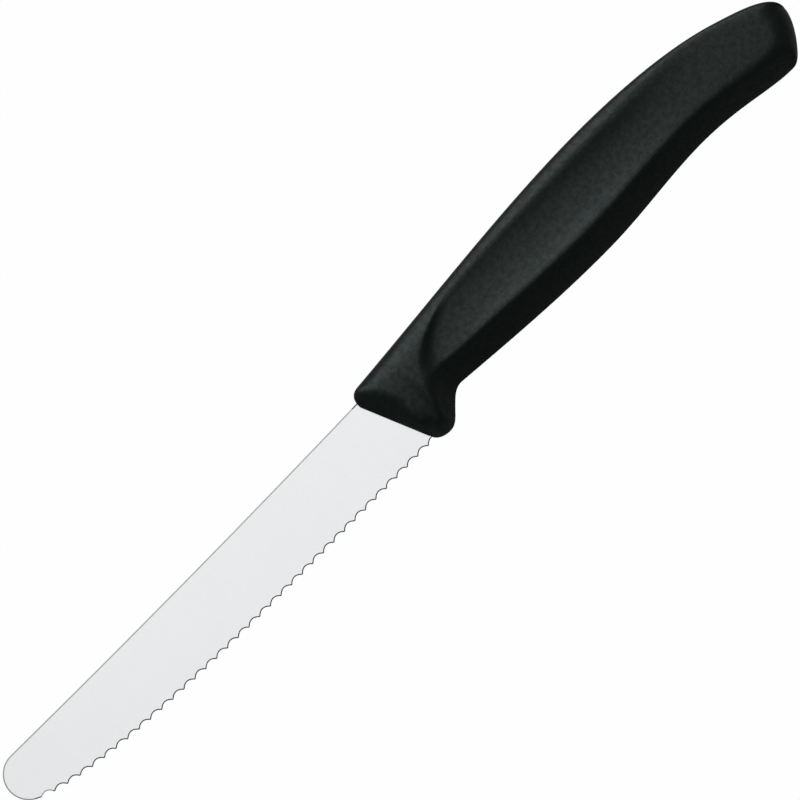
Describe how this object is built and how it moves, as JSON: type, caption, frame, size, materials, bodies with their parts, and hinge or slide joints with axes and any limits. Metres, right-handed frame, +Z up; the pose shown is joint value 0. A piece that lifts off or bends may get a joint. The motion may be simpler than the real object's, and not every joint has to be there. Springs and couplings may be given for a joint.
{
  "type": "steak knife",
  "caption": "Round-tipped steel table knife with a wavy cutting edge and a black moulded handle with guard and scooped grip.",
  "frame": {"origin": "middle of the bounding box in plan, at the lowest point of the handle as the knife lies on its side", "axes": "+X from the blade's tip to the handle's butt, +Y from the cutting edge to the spine, +Z up, square to the blade"},
  "size_m": [0.2204, 0.0236, 0.0112],
  "materials": {
    "steel": "finely polished",
    "plastic": "fine moulded grain"
  },
  "bodies": {
    "root": {"blade": "steel", "handle": "plastic"}
  },
  "joints": []
}
